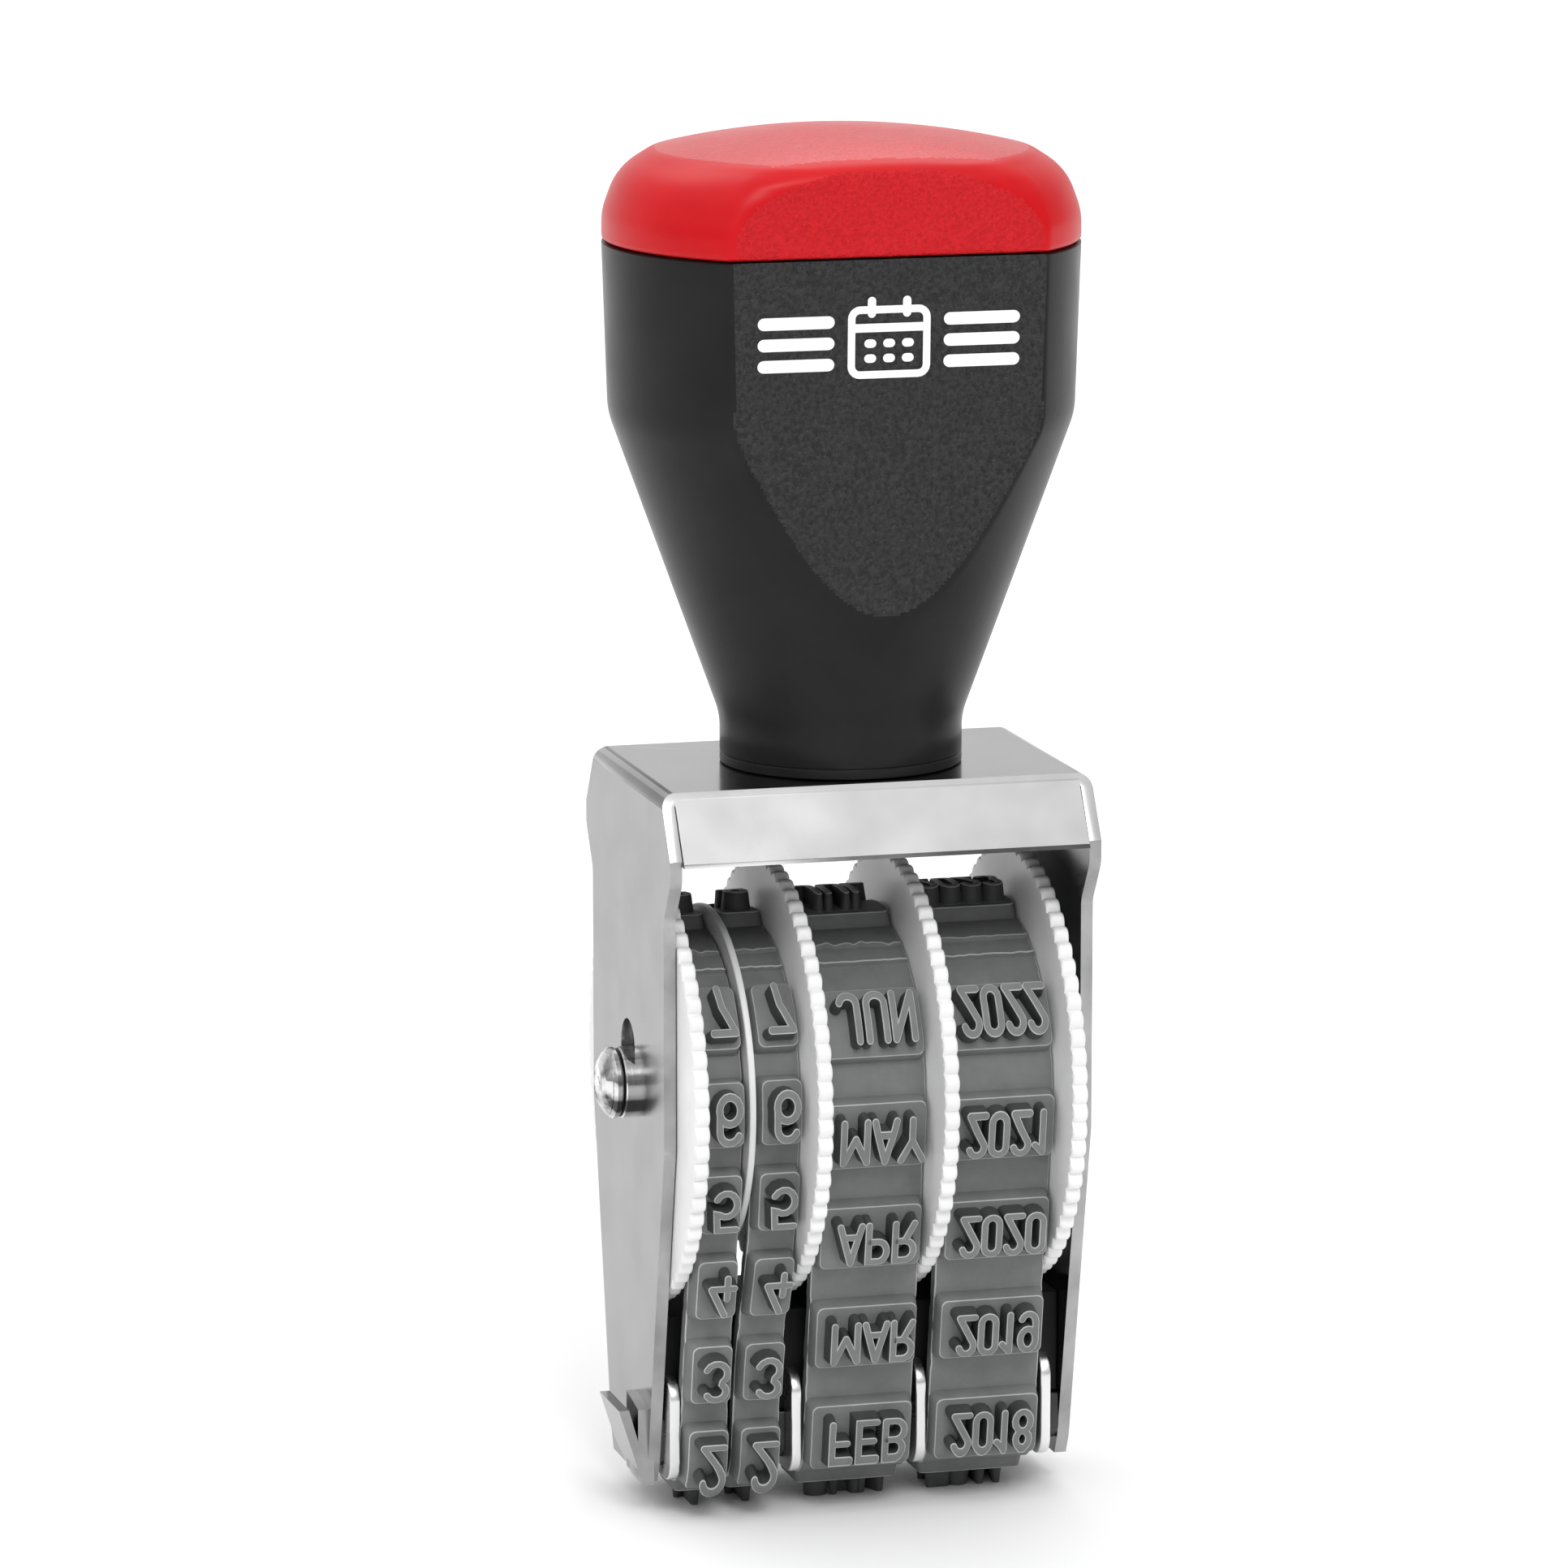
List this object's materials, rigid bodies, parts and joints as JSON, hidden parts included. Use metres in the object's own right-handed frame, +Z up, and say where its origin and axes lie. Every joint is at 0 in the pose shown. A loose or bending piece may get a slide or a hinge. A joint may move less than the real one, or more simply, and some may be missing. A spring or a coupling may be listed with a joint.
{
  "type": "rotary date stamp",
  "caption": "Hand date stamp: tapered grip with a domed cap on a folded metal frame, toothed setting wheels on an axle, and endless rubber bands that print the chosen date.",
  "frame": {"origin": "on the grip axis, in the plane of the printing face (the paper); the printed row is centred 2.1 mm in front of it and 0.8 mm to its left, at the print_face mount", "axes": "+Z up along the grip, -Y front (the side read while setting), +X along the axle towards the year wheel"},
  "size_m": [0.0412, 0.036, 0.1131],
  "materials": {
    "nickel": "bright nickel plate with a fine brushed satin",
    "grip_black": "satin, fine spark texture on the facets",
    "cap_red": "satin with a fine spark texture",
    "wheel_white": "smooth moulded white",
    "disc_white": "smooth moulded white",
    "band_rubber": "matt moulded rubber",
    "axle_chrome": "polished and turned",
    "anvil_steel": "bright sheared steel",
    "steel": "bright zinc",
    "filler_black": "matt moulded black"
  },
  "bodies": {
    "stamp_frame": {"frame": "nickel", "handle_body": "grip_black", "handle_cap": "cap_red", "handle_screw": "steel", "screw_washer": "steel", "friction_washer": "steel", "band_day_tens": "band_rubber", "band_day_units": "band_rubber", "band_month": "band_rubber", "band_year": "band_rubber", "anvil_bar": "anvil_steel", "filler_block": "filler_black", "divider_fin_1": "anvil_steel", "divider_fin_2": "anvil_steel", "divider_fin_3": "anvil_steel", "divider_fin_4": "anvil_steel"},
    "axle": {"axle": "axle_chrome"},
    "divider_disc": {"divider_disc": "disc_white"},
    "wheel_day_tens": {"setting_wheel_day_tens": "wheel_white"},
    "wheel_day_units": {"setting_wheel_day_units": "wheel_white"},
    "wheel_month": {"setting_wheel_month": "wheel_white"},
    "wheel_year": {"setting_wheel_year": "wheel_white"}
  },
  "joints": [
    {"name": "axle_turn", "type": "hinge", "parent": "stamp_frame", "child": "axle", "pos_m": [0, 0, 0.03515], "axis": [1, 0, 0], "continuous": true},
    {"name": "divider_disc_turn", "type": "hinge", "parent": "stamp_frame", "child": "divider_disc", "pos_m": [-0.0112, 0, 0.03515], "axis": [1, 0, 0], "continuous": true},
    {"name": "day_tens_turn", "type": "hinge", "parent": "stamp_frame", "child": "wheel_day_tens", "pos_m": [-0.0163, 0, 0.03515], "axis": [1, 0, 0], "continuous": true},
    {"name": "day_units_turn", "type": "hinge", "parent": "stamp_frame", "child": "wheel_day_units", "pos_m": [-0.0061, 0, 0.03515], "axis": [1, 0, 0], "continuous": true},
    {"name": "month_turn", "type": "hinge", "parent": "stamp_frame", "child": "wheel_month", "pos_m": [0.00445, 0, 0.03515], "axis": [1, 0, 0], "continuous": true},
    {"name": "year_turn", "type": "hinge", "parent": "stamp_frame", "child": "wheel_year", "pos_m": [0.0152, 0, 0.03515], "axis": [1, 0, 0], "continuous": true}
  ]
}
